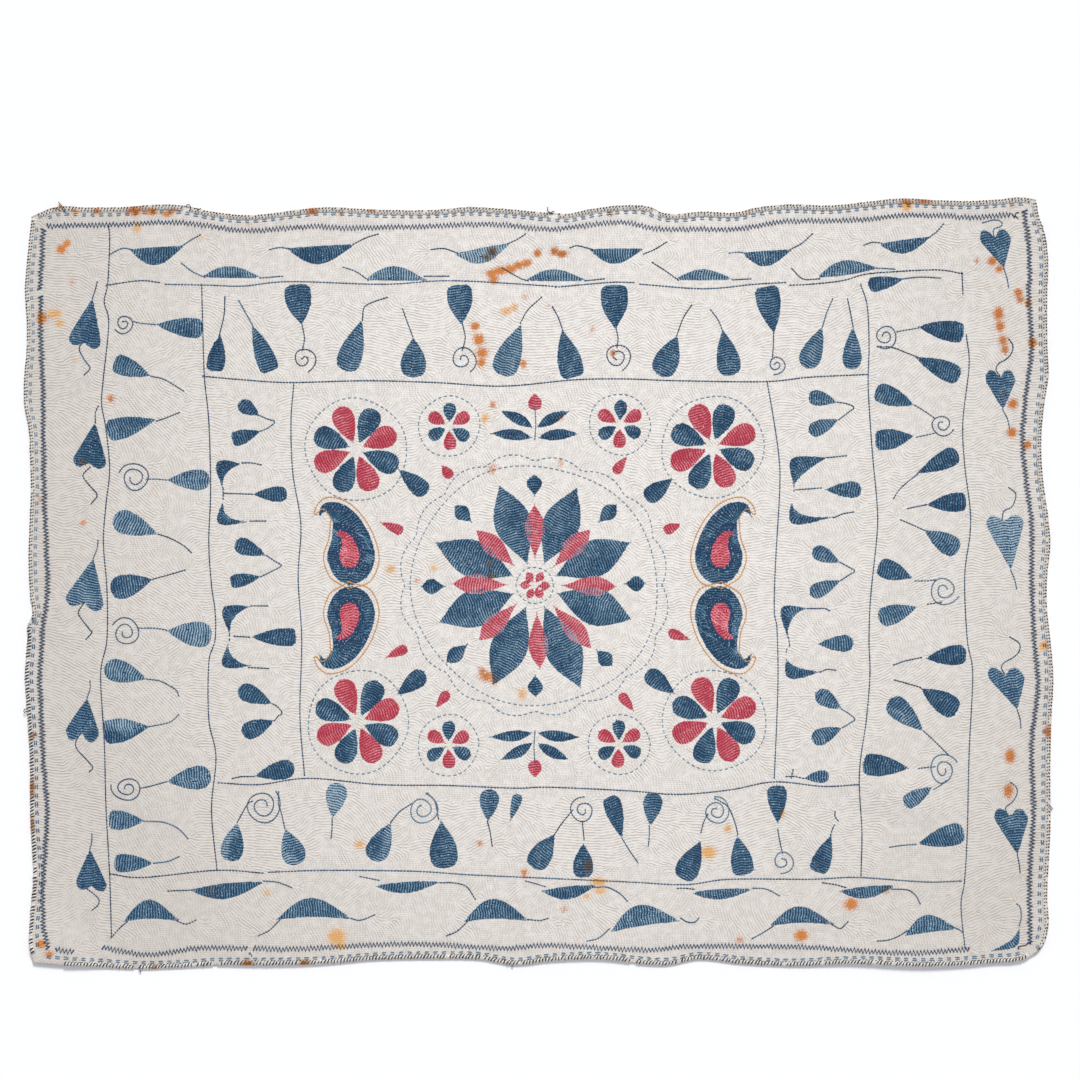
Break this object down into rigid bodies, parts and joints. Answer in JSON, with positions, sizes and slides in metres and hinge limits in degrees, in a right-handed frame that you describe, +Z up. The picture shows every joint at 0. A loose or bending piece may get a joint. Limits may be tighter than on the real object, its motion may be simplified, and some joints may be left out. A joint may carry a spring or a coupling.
{
  "type": "kantha embroidery",
  "caption": "Quilted cotton kantha lying flat, embroidered with bordered leaf, drop and spiral motifs, with a narrow sewn tape round its rim.",
  "frame": {"origin": "under the middle of the cloth's outline, on the surface it lies on", "axes": "+X along the cloth's length, +Y towards its upper edge, +Z up out of the embroidered face"},
  "size_m": [1.1525, 0.8642, 0.0072],
  "materials": {
    "quilted_cotton": "several layers of soft worn cream cotton, quilted with fine white running stitches that ripple the cloth",
    "woven_tape": "narrow tape of black and cream slanted cotton stitches, matt and a little frayed"
  },
  "bodies": {
    "root": {"cloth": "quilted_cotton", "edging_top_1": "woven_tape", "edging_top_2": "woven_tape", "edging_top_3": "woven_tape", "edging_top_4": "woven_tape", "edging_right": "woven_tape", "edging_bottom_1": "woven_tape", "edging_bottom_2": "woven_tape", "edging_bottom_3": "woven_tape", "edging_bottom_4": "woven_tape", "edging_left_lower": "woven_tape", "edging_left_upper": "woven_tape"}
  },
  "joints": []
}
